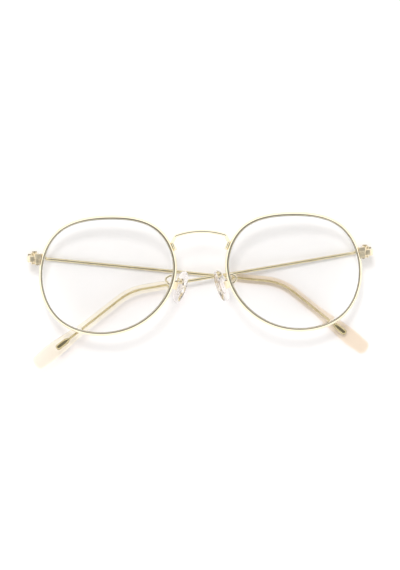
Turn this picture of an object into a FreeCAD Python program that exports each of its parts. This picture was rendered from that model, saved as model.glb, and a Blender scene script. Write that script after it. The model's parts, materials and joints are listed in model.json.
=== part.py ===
import FreeCAD, Part
import os
from math import asin, atan2, cos, degrees, pi, radians, sin, sqrt, tan

from FreeCAD import Vector

os.makedirs("parts", exist_ok=True)

# Round wire eyeglasses, folded and lying on their temples with the front facing up.
# +X runs to the right as the front is looked at, +Y to the rims' top, +Z up from the table.
# Everything is drawn for one side and mirrored in X. All sizes are in mm.

# Front: the rims' centre line, in the plane of each rim
nose_width = 21.0
rim_half_width = 27.0
rim_half_height = 23.3
upper_nasal_fullness = 0.768
upper_temporal_fullness = 0.743
lower_temporal_fullness = 0.748
lower_nasal_fullness = 0.662
nasal_extreme_y = 4.1
temporal_extreme_y = 1.6
top_extreme_x = 1.6
bottom_extreme_x = 2.4
wrap_angle = 5.5
base_curve_radius = 130.0

# Rim wire and lens
rim_width = 1.5
rim_depth = 2.1
groove_depth = 0.45
groove_width = 1.0
lens_thickness = 1.8
tongue_thickness = 0.6
lens_clearance = 0.05
rim_split = 0.16
rim_shoulder = 0.3
rim_face_width = 0.2
groove_taper = 0.05

# Bridge
bridge_wire_radius = 0.62
bridge_shoulder_inset = 0.6
bridge_shoulder_y = 15.5
bridge_rise = 1.45
bridge_forward = 0.9
bridge_leg_upper_y = 12.2
bridge_leg_lower_y = 9.6
bridge_bend_radius = 0.85
bridge_arch_share = 0.9
bridge_leg_forward = 0.2
solder_sink = 0.08

# Rim lock, endpiece and hinge
endpiece_y = 7.1
endpiece_height = 2.6
endpiece_thickness = 1.3
endpiece_bend = 1.5
lock_height = 2.0
lock_depth = 2.2
lock_gap = 0.1
lock_screw_radius = 0.5
lock_screw_head_rim = 0.2
lock_screw_head_height = 0.4
lock_screw_rim_gap = 0.06
lock_wall = 0.4
lock_sink = 0.72
block_edge_round = 0.35
arm_length = 1.7
hinge_knuckle_radius = 1.1
hinge_middle_length = 1.7
hinge_outer_length = 1.4
hinge_screw_radius = 0.6
hinge_side_gap = 0.05
hinge_running_gap = 0.05
hinge_leaf_thickness = 0.5
hinge_screw_head_radius = 0.95
hinge_screw_head_height = 0.4
hinge_screw_end = 0.2
web_thickness = 0.7
web_overlap = 1.5
tie_height = 1.3
temple_web_length = 1.5
temple_web_thickness = 0.85
temple_plate_start = 1.1
temple_plate_end = 2.3
temple_plate_share = 0.92
joint_reach = 2.9
joint_gap = 0.05
leg_length = 3.49
open_angle = 92.0

# Temples; each tip was bent by hand, so the two sides differ a little
temple_length = 145.0
temple_wire_radius = 0.65
butt_height = 2.6
butt_length = 2.4
butt_taper = 1.4
wire_overlap = 1.0
temple_slope = {"left": 6.8, "right": 8.3}
ear_bend_at = {"left": 100.6, "right": 96.5}
ear_bend_angle = {"left": 33.0, "right": 28.5}
ear_bend_radius = 22.0
crossing_gap = 0.2

# Tips and ferrules
ferrule_past_crossing = 7.03
ferrule_length = 4.3
ferrule_radius = 1.05
ferrule_edge_round = 0.2
tip_thickness = 2.5
tip_edge_round = 0.8
tip_start_height = 2.8
tip_neck_height = 3.6
tip_paddle_height = 6.4
tip_end_round = 1.9
tip_end_share = 0.88
paddle_length = 22.0
neck_full_at = 0.1
neck_ends_at = 0.35
swell_starts_at = 1.3
swell_middle_at = 0.7
paddle_widest_at = 0.35
core_radius = 0.5
core_end_gap = 11.0
core_flat_length = 5.0
core_flat_width = 2.4
core_flat_thickness = 0.7
core_flat_round = 0.8
core_overlap = 0.5
fit_clearance = 0.04

# Nose pads, their cups and arms
pad_inset = 2.2
pad_y = -5.2
pad_over_tip = 0.85
pad_splay = 30.0
pad_lean = 18.0
pad_width = 6.8
pad_length = 13.0
pad_thickness = 2.4
pad_edge_round = 1.0
stem_plate_thickness = 0.5
tab_width = 1.0
tab_length = 1.8
pivot_height = 2.9
tab_past_pivot = 0.7
box_wall = 0.5
box_side_clearance = 0.15
box_end_clearance = 0.1
box_mouth = 0.9
box_edge_round = 0.3
pad_screw_radius = 0.4
pad_screw_head_radius = 0.65
pad_screw_head_height = 0.3
pad_arm_radius = 0.45
pad_arm_sink = 0.3
pad_arm_drop = 1.9
pad_arm_bends = [0.8, 1.1, 0.7]
pad_arm_start_y = 0.6
pad_arm_reach = 4.1

y_axis = Vector(0, 1, 0)
z_axis = Vector(0, 0, 1)
nodes = {}


def box_between(low, high):
    """A block from its lowest corner to its highest corner."""
    size = high - low
    return Part.makeBox(size.x, size.y, size.z, low)


def rod_y(radius, low_y, high_y, x=0.0, z=0.0):
    return Part.makeCylinder(radius, high_y - low_y, Vector(x, low_y, z), y_axis)


def rounded_path(points, bend_radii):
    """Straight runs joined by tangent arcs, one radius for each inner point."""
    edges = []
    start = points[0]
    for index, radius in enumerate(bend_radii, 1):
        corner = points[index]
        back = (points[index - 1] - corner).normalize()
        ahead = (points[index + 1] - corner).normalize()
        half = back.getAngle(ahead) / 2
        first = corner + back * (radius / tan(half))
        last = corner + ahead * (radius / tan(half))
        middle = corner + (back + ahead).normalize() * (radius / sin(half) - radius)
        edges.append(Part.LineSegment(start, first).toShape())
        edges.append(Part.Arc(first, middle, last).toShape())
        start = last
    edges.append(Part.LineSegment(start, points[-1]).toShape())
    return Part.Wire(edges)


def wire_along(path, radius):
    """A round wire along a path of lines and arcs."""
    first = path.OrderedEdges[0]
    start = first.valueAt(first.FirstParameter)
    heading = first.tangentAt(first.FirstParameter)
    section = Part.Wire([Part.makeCircle(radius, start, heading)])
    return path.makePipeShell([section], True, False)


def slot_in_head(centre, outward, radius):
    """The screwdriver slot of a small screw's head."""
    width = 0.3
    depth = 0.2
    length = 4 * radius
    slot = box_between(Vector(-length / 2, -depth, -width / 2), Vector(length / 2, depth, width / 2))
    slot.Placement = FreeCAD.Placement(centre, FreeCAD.Rotation(y_axis, outward))
    return slot


def screw_y(radius, head_radius, head_height, low_y, seat_y, x=0.0, z=0.0, up=1):
    """A screw along Y: its shank starts at low_y, its head sits on seat_y and faces up or down."""
    shank = rod_y(radius, min(low_y, seat_y), max(low_y, seat_y), x, z)
    top_y = seat_y + up * head_height
    head = rod_y(head_radius, min(seat_y, top_y), max(seat_y, top_y), x, z)
    slot = slot_in_head(Vector(x, top_y, z), Vector(0, up, 0), head_radius)
    return shank.fuse(head).cut(slot)


# Rims and lenses, drawn for the right side with the nose at -X

def outline_curve():
    """The rim's centre line as one closed smooth curve through its extremes and its four quarters."""
    keys = [
        (rim_half_width, temporal_extreme_y),
        (upper_temporal_fullness * rim_half_width, upper_temporal_fullness * rim_half_height),
        (-top_extreme_x, rim_half_height),
        (-upper_nasal_fullness * rim_half_width, upper_nasal_fullness * rim_half_height),
        (-rim_half_width, nasal_extreme_y),
        (-lower_nasal_fullness * rim_half_width, -lower_nasal_fullness * rim_half_height),
        (bottom_extreme_x, -rim_half_height),
        (lower_temporal_fullness * rim_half_width, -lower_temporal_fullness * rim_half_height),
    ]
    curve = Part.BSplineCurve()
    curve.interpolate(Points=[Vector(x, y, 0) for x, y in keys], PeriodicFlag=True)
    return curve


outline = outline_curve()
outline_start = outline.FirstParameter
outline_span = outline.LastParameter - outline_start


def outline_point(turn, offset=0.0):
    """A point on the centre line at a share of its round, moved outward by offset."""
    parameter = outline_start + (turn % 1.0) * outline_span
    point = outline.value(parameter)
    tangent = outline.tangent(parameter)[0]
    return point + Vector(tangent.y, -tangent.x, 0) * offset


def turn_at_height(height, low_turn, high_turn):
    """The share of the round at which the centre line has this height, between two shares."""
    rising = outline_point(high_turn).y > outline_point(low_turn).y
    for _ in range(40):
        middle = (low_turn + high_turn) / 2
        if (outline_point(middle).y < height) == rising:
            low_turn = middle
        else:
            high_turn = middle
    return (low_turn + high_turn) / 2


def on_sphere(point):
    """A point of the rim's plane lifted to the lens's curved middle surface."""
    distance = sqrt(point.x ** 2 + point.y ** 2)
    return Vector(point.x, point.y, sqrt(base_curve_radius ** 2 - distance ** 2) - base_curve_radius)


# Places across the front, from the nose out to the hinges

lens_centre_x = nose_width / 2 + rim_half_width
lens_turn = FreeCAD.Rotation(y_axis, wrap_angle)
rim_at_endpiece = lens_turn.multVec(on_sphere(outline_point(turn_at_height(endpiece_y, -0.12, 0.12))))
screw_head_y = endpiece_y - lock_gap / 2 - lock_height - lock_screw_head_height
rim_at_screw_head = lens_turn.multVec(on_sphere(outline_point(turn_at_height(screw_head_y, -0.12, 0.12))))
lock_screw_x = (
    lens_centre_x + rim_at_screw_head.x + rim_width / 2
    + lock_screw_rim_gap + lock_screw_radius + lock_screw_head_rim
)
lock_outer_x = lock_screw_x + lock_screw_radius + lock_wall
leg_inner_x = lock_outer_x + arm_length
leg_outer_x = leg_inner_x + endpiece_thickness
hinge_x = leg_inner_x - hinge_knuckle_radius
hinge_half_length = hinge_middle_length / 2 + hinge_side_gap + hinge_outer_length

# Heights of the folded frame, from the table up. The left temple lies flat on its tip and its butt
# block. The right one passes over the start of the left tip. Both tips are set to the left one's
# angle. The nose pads stay above the right tip, and the endpieces' legs carry the front above them.

temple_offset = hinge_knuckle_radius + endpiece_thickness / 2
hinge_z = temple_offset + endpiece_thickness / 2
hinge_point = Vector(-hinge_x, endpiece_y, hinge_z)
ferrule_start = hinge_x + ferrule_past_crossing
tip_start = ferrule_start + ferrule_length
tip_set = degrees(asin((tip_thickness - endpiece_thickness) / 2 / tip_start))
over_tip = tip_thickness + crossing_gap + temple_wire_radius - endpiece_thickness / 2
to_other_tip = 2 * hinge_x - tip_start
temple_lift = {"left": tip_set, "right": degrees(asin(over_tip / to_other_tip))}
right_tip_top = endpiece_thickness / 2 + tip_start * over_tip / to_other_tip + tip_thickness / 2
pad_z = right_tip_top + pad_over_tip + pad_width / 2 * cos(radians(pad_splay))
pad_centre = Vector(nose_width / 2 - pad_inset, pad_y, pad_z)
front_apex_z = hinge_z + joint_reach + leg_length + endpiece_thickness / 2 - rim_at_endpiece.z
lens_place = FreeCAD.Placement(Vector(lens_centre_x, 0, front_apex_z), lens_turn)


def rim_point(height, nasal):
    """A point on the placed rim's centre line at a height, on its nasal or temporal side."""
    low_turn, high_turn = (0.62, 0.38) if nasal else (-0.12, 0.12)
    return lens_place.multVec(on_sphere(outline_point(turn_at_height(height, low_turn, high_turn))))


def rim():
    """The eyewire: a rounded section with a groove on its inside, open at the rim lock."""
    split_turn = turn_at_height(endpiece_y, -0.12, 0.12)
    half_gap = rim_split / 2 / outline.length()
    samples = 72
    first = split_turn + half_gap
    span = 1 - 2 * half_gap
    points = [on_sphere(outline_point(first + span * index / samples)) for index in range(samples + 1)]
    path_curve = Part.BSplineCurve()
    path_curve.interpolate(points)
    path = Part.Wire([path_curve.toShape()])
    tangent = path_curve.tangent(path_curve.FirstParameter)[0]
    outward = Vector(tangent.y, -tangent.x, 0).normalize()
    inner = -rim_width / 2
    corner = rim_depth / 2
    shoulder = rim_shoulder
    face_end = inner + shoulder + rim_face_width

    def at(radial, height):
        return points[0] + outward * radial + z_axis * height

    floor = inner + groove_depth
    mouth = groove_width / 2
    edge_points = [
        at(face_end, corner), at(inner + shoulder, corner), at(inner, corner - shoulder),
        at(inner, mouth), at(floor, mouth - groove_taper), at(floor, groove_taper - mouth), at(inner, -mouth),
        at(inner, shoulder - corner), at(inner + shoulder, -corner), at(face_end, -corner),
    ]
    edges = [Part.makeLine(a, b) for a, b in zip(edge_points, edge_points[1:])]
    edges.append(Part.Arc(edge_points[-1], at(rim_width / 2, 0), edge_points[0]).toShape())
    shell = Part.BRepOffsetAPI.MakePipeShell(path)
    shell.setBiNormalMode(z_axis)
    shell.add(Part.Wire(edges))
    shell.build()
    shell.makeSolid()
    return shell.shape()


def outline_prism(offset):
    """A prism over the outline moved in by offset, tall enough for the curved lens."""
    samples = 48
    points = [outline_point(index / samples, -offset) for index in range(samples)]
    edge_curve = Part.BSplineCurve()
    edge_curve.interpolate(Points=points, PeriodicFlag=True)
    face = Part.Face(Part.Wire([edge_curve.toShape()]))
    face.translate(Vector(0, 0, -rim_half_width / 2))
    return face.extrude(Vector(0, 0, rim_half_width))


def curved_sheet(thickness):
    """A spherical sheet about the lens's middle surface."""
    centre = Vector(0, 0, -base_curve_radius)
    outer = Part.makeSphere(base_curve_radius + thickness / 2, centre)
    inner = Part.makeSphere(base_curve_radius - thickness / 2, centre)
    return outer.cut(inner)


def lens():
    """A curved lens whose edge has a tongue that sits in the rim's groove."""
    body = outline_prism(rim_width / 2 + lens_clearance).common(curved_sheet(lens_thickness))
    tongue_inset = rim_width / 2 - groove_depth + lens_clearance
    tongue = outline_prism(tongue_inset).common(curved_sheet(tongue_thickness))
    return body.fuse(tongue).removeSplitter()


def placed(shape):
    shape.Placement = lens_place.multiply(shape.Placement)
    return shape


right_rim = placed(rim())
nodes["rim_right"] = right_rim
nodes["lens_right"] = placed(lens())


# Bridge: an arched wire whose ends turn down along the rims' nasal sides

def bridge():
    solder_offset = rim_width / 2 + bridge_wire_radius - solder_sink
    legs = []
    for height in (bridge_leg_upper_y, bridge_leg_lower_y):
        on_rim = rim_point(height, True)
        turn = turn_at_height(height, 0.62, 0.38)
        clear = lens_place.multVec(on_sphere(outline_point(turn, solder_offset)))
        legs.append(Vector(clear.x, clear.y, on_rim.z + bridge_leg_forward))
    shoulder_x = nose_width / 2 - bridge_shoulder_inset
    shoulder = Vector(shoulder_x, bridge_shoulder_y, legs[0].z + bridge_forward)
    end_slope = 2 * atan2(bridge_rise, shoulder_x)
    peak = Vector(0, bridge_shoulder_y + shoulder_x * tan(end_slope), shoulder.z)
    arch_radius = bridge_arch_share * shoulder_x / sin(end_slope)
    right_half = [shoulder, legs[0], legs[1]]
    left_half = [Vector(-p.x, p.y, p.z) for p in reversed(right_half)]
    bend = bridge_bend_radius
    path = rounded_path(left_half + [peak] + right_half, [bend, bend, arch_radius, bend, bend])
    return wire_along(path, bridge_wire_radius)


left_rim = right_rim.mirror(Vector(0, 0, 0), Vector(1, 0, 0))
nodes["bridge"] = bridge().cut(right_rim).cut(left_rim)


# Rim lock: two blocks on the rim's outer side, above and below its split, closed by a screw

lock_z = rim_point(endpiece_y, False).z
lock_low = {"upper": endpiece_y + lock_gap / 2, "lower": endpiece_y - lock_gap / 2 - lock_height}
for half, low_y in lock_low.items():
    outer_x = lock_outer_x if half == "upper" else lock_outer_x - lock_gap
    rim_x = max(rim_point(low_y, False).x, rim_point(low_y + lock_height, False).x)
    inner_x = rim_x + rim_width / 2 - lock_sink
    block = box_between(
        Vector(inner_x, low_y, lock_z - lock_depth / 2),
        Vector(outer_x, low_y + lock_height, lock_z + lock_depth / 2),
    )
    long_edges = [e for e in block.Edges if abs(e.CenterOfMass.x - outer_x) < 0.01]
    long_edges = [e for e in long_edges if abs(e.CenterOfMass.z - lock_z) > lock_depth / 4]
    block = block.makeFillet(block_edge_round, long_edges)
    hole = rod_y(lock_screw_radius + fit_clearance, low_y - 1, low_y + lock_height + 1, lock_screw_x, lock_z)
    nodes[f"lock_{half}_right"] = block.cut(right_rim).cut(hole)
nodes["lock_screw_right"] = screw_y(
    lock_screw_radius, lock_screw_radius + lock_screw_head_rim, lock_screw_head_height,
    lock_low["upper"] + lock_height, lock_low["lower"], lock_screw_x, lock_z, up=-1,
)


# Endpiece: a bar that leaves the upper lock block, turns back and ends at the hinge

leg_end_z = hinge_z + joint_reach
arm_top_z = lock_z + endpiece_thickness / 2
arm_low_z = lock_z - endpiece_thickness / 2


def endpiece():
    low_y = endpiece_y - endpiece_height / 2
    bend = endpiece_bend
    quarter = bend * (1 - cos(pi / 4))
    corners = {
        "arm_top": Vector(lock_outer_x, low_y, arm_top_z),
        "bend_top": Vector(leg_outer_x - bend, low_y, arm_top_z),
        "bend_middle": Vector(leg_outer_x - quarter, low_y, arm_top_z - quarter),
        "bend_outer": Vector(leg_outer_x, low_y, arm_top_z - bend),
        "leg_outer": Vector(leg_outer_x, low_y, leg_end_z),
        "leg_inner": Vector(leg_inner_x, low_y, leg_end_z),
        "inside": Vector(leg_inner_x, low_y, arm_low_z),
        "arm_low": Vector(lock_outer_x, low_y, arm_low_z),
    }
    edges = [
        Part.makeLine(corners["arm_top"], corners["bend_top"]),
        Part.Arc(corners["bend_top"], corners["bend_middle"], corners["bend_outer"]).toShape(),
        Part.makeLine(corners["bend_outer"], corners["leg_outer"]),
        Part.makeLine(corners["leg_outer"], corners["leg_inner"]),
        Part.makeLine(corners["leg_inner"], corners["inside"]),
        Part.makeLine(corners["inside"], corners["arm_low"]),
        Part.makeLine(corners["arm_low"], corners["arm_top"]),
    ]
    bar = Part.Face(Part.Wire(edges)).extrude(Vector(0, endpiece_height, 0))
    outer_edges = [
        e for e in bar.Edges
        if abs(abs(e.CenterOfMass.y - endpiece_y) - endpiece_height / 2) < 0.01
        and (e.CenterOfMass.z > (arm_top_z + arm_low_z) / 2 or e.CenterOfMass.x > leg_outer_x - 0.01)
    ]
    return bar.makeFillet(block_edge_round, outer_edges)


nodes["endpiece_right"] = endpiece()


# Hinge, drawn about its own axis for the left side, whose temple runs towards +X when folded

def front_leaf():
    """The endpiece's leaf: two outer knuckles, their webs and a plate on the leg's inner face."""
    radius = hinge_knuckle_radius - hinge_running_gap
    leg_face = -hinge_knuckle_radius
    web_face = -radius + joint_reach * sin(radians(open_angle - 90))
    leaf = None
    for side in (-1, 1):
        near = side * (hinge_middle_length / 2 + hinge_side_gap)
        far = side * hinge_half_length
        low_y, high_y = min(near, far), max(near, far)
        knuckle = rod_y(radius, low_y, high_y)
        web_top = joint_reach + web_overlap
        web = box_between(Vector(web_face, low_y, 0), Vector(web_face + web_thickness, high_y, web_top))
        piece = knuckle.fuse(web)
        leaf = piece if leaf is None else leaf.fuse(piece)
    plate_low = joint_reach + joint_gap
    plate_face = leg_face + hinge_leaf_thickness
    plate_half = endpiece_height / 2
    plate = box_between(
        Vector(leg_face, -plate_half, plate_low), Vector(plate_face, plate_half, arm_low_z - hinge_z)
    )
    tie = box_between(
        Vector(leg_face + hinge_running_gap, -hinge_half_length, plate_low),
        Vector(plate_face, hinge_half_length, plate_low + tie_height),
    )
    hole = rod_y(hinge_screw_radius, -hinge_half_length - 1, hinge_half_length + 1)
    return leaf.fuse(plate).fuse(tie).cut(hole).removeSplitter()


def hinge_screw():
    low_y = -hinge_half_length - hinge_screw_end
    return screw_y(
        hinge_screw_radius, hinge_screw_head_radius, hinge_screw_head_height, low_y, hinge_half_length
    )


def temple_leaf():
    """The temple's leaf: the middle knuckle and a plate on the butt block's inner face."""
    half = hinge_middle_length / 2
    face_z = -hinge_knuckle_radius
    knuckle = rod_y(hinge_knuckle_radius, -half, half)
    plate_half = temple_plate_share * butt_height / 2
    plate_top = face_z + hinge_leaf_thickness
    web_top = face_z + temple_web_thickness
    web = box_between(Vector(0, -half, face_z), Vector(temple_web_length, half, web_top))
    plate = box_between(
        Vector(temple_plate_start, -plate_half, face_z), Vector(temple_plate_end, plate_half, plate_top)
    )
    hole = rod_y(hinge_screw_radius + hinge_running_gap, -half - 1, half + 1)
    return knuckle.fuse(web).fuse(plate).cut(hole).removeSplitter()


# Temples, drawn about the hinge axis with the wire's line below it

def heading(angle):
    """The direction of a line that falls by an angle in degrees."""
    return Vector(cos(radians(angle)), -sin(radians(angle)), 0)


def upward(angle):
    """The direction square to a falling line, on its upper side."""
    return Vector(sin(radians(angle)), cos(radians(angle)), 0)


def centre_line(side, distance, offset=0.0):
    """The point at a distance from the hinge along a temple's bent line, moved up by offset."""
    slope = temple_slope[side]
    bend = ear_bend_angle[side]
    bend_start = ear_bend_at[side] - ear_bend_radius * tan(radians(bend / 2))
    bend_length = ear_bend_radius * radians(bend)
    past = distance - bend_start
    level = Vector(0, 0, -temple_offset)
    if past <= 0:
        return level + heading(slope) * distance + upward(slope) * offset
    turn_centre = heading(slope) * bend_start - upward(slope) * ear_bend_radius
    if past <= bend_length:
        angle = slope + degrees(past / ear_bend_radius)
        return level + turn_centre + upward(angle) * (ear_bend_radius + offset)
    angle = slope + bend
    straight = heading(angle) * (past - bend_length)
    return level + turn_centre + upward(angle) * (ear_bend_radius + offset) + straight


def temple_path(side, start, end):
    """The bent centre line between two distances from the hinge."""
    bend_start = ear_bend_at[side] - ear_bend_radius * tan(radians(ear_bend_angle[side] / 2))
    bend_end = bend_start + ear_bend_radius * radians(ear_bend_angle[side])
    bend_middle = (bend_start + bend_end) / 2
    first, turn_in, turn_middle, turn_out, last = (
        centre_line(side, distance) for distance in (start, bend_start, bend_middle, bend_end, end)
    )
    return Part.Wire([
        Part.makeLine(first, turn_in),
        Part.Arc(turn_in, turn_middle, turn_out).toShape(),
        Part.makeLine(turn_out, last),
    ])


core_end = temple_length - core_end_gap


def core_flat(side, margin=0.0):
    """The flattened end of the core wire."""
    angle = temple_slope[side] + ear_bend_angle[side]
    half_width = core_flat_width / 2 + margin
    half_thickness = core_flat_thickness / 2 + margin
    flat = box_between(
        Vector(-core_flat_length / 2 - margin, -half_width, -half_thickness),
        Vector(core_flat_length / 2 + margin, half_width, half_thickness),
    )
    corner_edges = [e for e in flat.Edges if abs(e.CenterOfMass.z) < 0.01]
    flat = flat.makeFillet(core_flat_round, corner_edges)
    middle = centre_line(side, core_end - core_flat_length / 2)
    flat.Placement = FreeCAD.Placement(middle, FreeCAD.Rotation(z_axis, -angle))
    return flat


def core(side, start, margin=0.0):
    """The core wire inside the tip, with its flattened end."""
    path = temple_path(side, start, core_end - core_flat_length + core_overlap)
    return wire_along(path, core_radius + margin).fuse(core_flat(side, margin))


def stop_block():
    """The space that the endpiece's leg takes when the temple is open, seen from the folded temple."""
    room = 20.0
    block = box_between(Vector(-room, -room, joint_reach - joint_gap), Vector(room, room, room))
    block.rotate(Vector(0, 0, 0), y_axis, -open_angle)
    return block


def temple_wire(side):
    """The stamped butt block, the round wire and the core inside the tip, in one piece."""
    slope = temple_slope[side]
    half = butt_height / 2
    taper_end = butt_length + butt_taper
    back = -2 * joint_reach
    outline_points = [
        (back, half), (butt_length, half), (taper_end, temple_wire_radius),
        (taper_end, -temple_wire_radius), (butt_length, -half), (back, -half), (back, half),
    ]
    low = Vector(0, 0, -temple_offset - endpiece_thickness / 2)
    corners = [low + heading(slope) * u + upward(slope) * v for u, v in outline_points]
    butt = Part.Face(Part.makePolygon(corners)).extrude(Vector(0, 0, endpiece_thickness))
    butt = butt.cut(stop_block())
    wire_start = centre_line(side, taper_end - wire_overlap)
    wire_length = tip_start - taper_end + wire_overlap
    wire = Part.makeCylinder(temple_wire_radius, wire_length, wire_start, heading(slope))
    return butt.fuse(wire).fuse(core(side, tip_start - core_overlap)).removeSplitter()


def ferrule(side):
    start = centre_line(side, ferrule_start)
    direction = heading(temple_slope[side])
    sleeve = Part.makeCylinder(ferrule_radius, ferrule_length, start, direction)
    sleeve = sleeve.makeFillet(ferrule_edge_round, [e for e in sleeve.Edges if e.Length > ferrule_length])
    bore = Part.makeCylinder(temple_wire_radius + fit_clearance, ferrule_length, start, direction)
    return sleeve.cut(bore)


def tip(side):
    """The clear tip: a flat bar that follows the ear bend and widens into a rounded paddle."""
    start = tip_start
    length = temple_length - start
    heights = [
        (start, tip_start_height),
        (start + neck_full_at * length, tip_neck_height),
        (start + neck_ends_at * length, tip_neck_height),
        (temple_length - swell_starts_at * paddle_length, tip_neck_height),
        (temple_length - swell_middle_at * paddle_length, (tip_neck_height + tip_paddle_height) / 2),
        (temple_length - paddle_widest_at * paddle_length, tip_paddle_height),
        (temple_length - tip_end_round, tip_end_share * tip_paddle_height),
    ]
    upper = Part.BSplineCurve()
    upper.interpolate([centre_line(side, distance, height / 2) for distance, height in heights])
    lower = Part.BSplineCurve()
    lower.interpolate([centre_line(side, distance, -height / 2) for distance, height in heights])
    end_arc = Part.Arc(upper.value(upper.LastParameter), centre_line(side, temple_length),
                       lower.value(lower.LastParameter))
    start_line = Part.makeLine(lower.value(lower.FirstParameter), upper.value(upper.FirstParameter))
    wire = Part.Wire(Part.__sortEdges__([upper.toShape(), end_arc.toShape(), lower.toShape(), start_line]))
    face = Part.Face(wire)
    face.translate(Vector(0, 0, -tip_thickness / 2))
    bar = face.extrude(Vector(0, 0, tip_thickness))
    rim_edges = [
        e for e in bar.Edges
        if abs(abs(e.CenterOfMass.z + temple_offset) - tip_thickness / 2) < 0.01
        and e.Length > tip_start_height + 0.1
    ]
    bar = bar.makeFillet(tip_edge_round, rim_edges)
    bar.rotate(centre_line(side, start), y_axis, tip_set)
    return bar.cut(core(side, start - core_overlap, fit_clearance))


def place_temple_piece(shape, side):
    """Turn a piece drawn about the hinge axis to its rest pose and move it to its hinge."""
    shape.rotate(Vector(0, 0, 0), y_axis, -temple_lift[side])
    shape.translate(hinge_point)
    if side == "right":
        return shape.mirror(Vector(0, 0, 0), Vector(1, 0, 0))
    return shape


for side in ("left", "right"):
    nodes[f"temple_wire_{side}"] = place_temple_piece(temple_wire(side), side)
    nodes[f"temple_hinge_{side}"] = place_temple_piece(temple_leaf(), side)
    nodes[f"ferrule_{side}"] = place_temple_piece(ferrule(side), side)
    nodes[f"temple_tip_{side}"] = place_temple_piece(tip(side), side)

for name, shape in (("front_hinge", front_leaf()), ("hinge_screw", hinge_screw())):
    shape.translate(hinge_point)
    nodes[f"{name}_left"] = shape
    nodes[f"{name}_right"] = shape.mirror(Vector(0, 0, 0), Vector(1, 0, 0))


# Nose pads for the right side, drawn with Y along the pad and Z away from the nose

lean = radians(pad_lean)
splay = radians(pad_splay)
pad_along = Vector(-sin(lean), cos(lean), 0)
pad_away = Vector(cos(splay) * cos(lean), cos(splay) * sin(lean), sin(splay))
pad_across = pad_along.cross(pad_away)
pad_place = FreeCAD.Placement(
    FreeCAD.Matrix(
        pad_across.x, pad_along.x, pad_away.x, pad_centre.x,
        pad_across.y, pad_along.y, pad_away.y, pad_centre.y,
        pad_across.z, pad_along.z, pad_away.z, pad_centre.z,
        0, 0, 0, 1,
    )
)
tab_end = pivot_height + tab_past_pivot
box_floor = tab_end + box_end_clearance
box_back = box_floor + box_wall


def oval_plate(width, length, thickness):
    oval = Part.Ellipse(Vector(0, length / 2, 0), Vector(width / 2, 0, 0), Vector(0, 0, 0))
    face = Part.Face(Part.Wire([oval.toShape()]))
    face.translate(Vector(0, 0, -thickness / 2))
    return face.extrude(Vector(0, 0, thickness))


def pad_stem():
    """The insert: an oval plate inside the pad and a tab with the pivot hole."""
    plate = oval_plate(pad_width / 2, pad_length / 2, stem_plate_thickness)
    half_x = tab_width / 2
    half_y = tab_length / 2
    tab = box_between(Vector(-half_x, -half_y, 0), Vector(half_x, half_y, tab_end))
    hole = rod_y(pad_screw_radius + hinge_running_gap, -tab_length, tab_length, 0, pivot_height)
    return plate.fuse(tab).cut(hole).removeSplitter()


def nose_pad(stem):
    pad = oval_plate(pad_width, pad_length, pad_thickness)
    pad = pad.makeFillet(pad_edge_round, [e for e in pad.Edges if abs(e.CenterOfMass.z) > 0.1])
    return pad.cut(stem)


box_half_x = tab_width / 2 + box_side_clearance
box_half_y = tab_length / 2 + box_end_clearance


def pad_box():
    """The cup that holds the tab, open towards the pad."""
    outer_x = box_half_x + box_wall
    outer_y = box_half_y + box_wall
    mouth_z = pivot_height - box_mouth
    cup = box_between(Vector(-outer_x, -outer_y, mouth_z), Vector(outer_x, outer_y, box_back))
    cup = cup.makeFillet(box_edge_round, [e for e in cup.Edges if abs(e.CenterOfMass.z - box_back) < 0.01])
    pocket = box_between(
        Vector(-box_half_x, -box_half_y, mouth_z - 1), Vector(box_half_x, box_half_y, box_floor)
    )
    hole = rod_y(pad_screw_radius, -outer_y - 1, outer_y + 1, 0, pivot_height)
    return cup.cut(pocket).cut(hole)


def pad_screw():
    outer_y = box_half_y + box_wall
    return screw_y(
        pad_screw_radius, pad_screw_head_radius, pad_screw_head_height, -outer_y, outer_y, 0, pivot_height
    )


def pad_arm():
    """The bent wire from the back of the rim round to the back of the cup."""
    start = rim_point(pad_arm_start_y, True) - z_axis * (rim_depth / 2 - pad_arm_sink)
    back = pad_centre + pad_away * box_back
    last_turn = back + pad_away * pad_arm_drop
    below_rim = start - z_axis * pad_arm_drop
    furthest_x = nose_width / 2 + pad_arm_reach
    furthest = Vector(furthest_x, (start.y + last_turn.y) / 2, (below_rim.z + last_turn.z) / 2)
    path = rounded_path([start, below_rim, furthest, last_turn, back], pad_arm_bends)
    return wire_along(path, pad_arm_radius)


stem_shape = pad_stem()
pad_pieces = {
    "pad_stem": stem_shape,
    "nose_pad": nose_pad(stem_shape),
    "pad_box": pad_box(),
    "pad_screw": pad_screw(),
}
for name, shape in pad_pieces.items():
    shape.Placement = pad_place
    nodes[f"{name}_right"] = shape
nodes["pad_arm_right"] = pad_arm().cut(right_rim)

# Every piece drawn only for the right side gets its mirror image

for name in [n for n in nodes if n.endswith("_right")]:
    left_name = name[: -len("right")] + "left"
    if left_name not in nodes:
        nodes[left_name] = nodes[name].mirror(Vector(0, 0, 0), Vector(1, 0, 0))

# The origin is the middle of the whole model's base

whole = Part.makeCompound(list(nodes.values())).optimalBoundingBox(False, False)
origin_shift = Vector(-(whole.XMin + whole.XMax) / 2, -(whole.YMin + whole.YMax) / 2, -whole.ZMin)
for name, shape in sorted(nodes.items()):
    shape.translate(origin_shift)
    shape.exportStep(f"parts/{name}.step")
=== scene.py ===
import bpy, bmesh, json
import numpy as np
from math import atan2, ceil, cos, pi, radians, sin, sqrt, tan
from mathutils import Matrix, Vector


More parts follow.
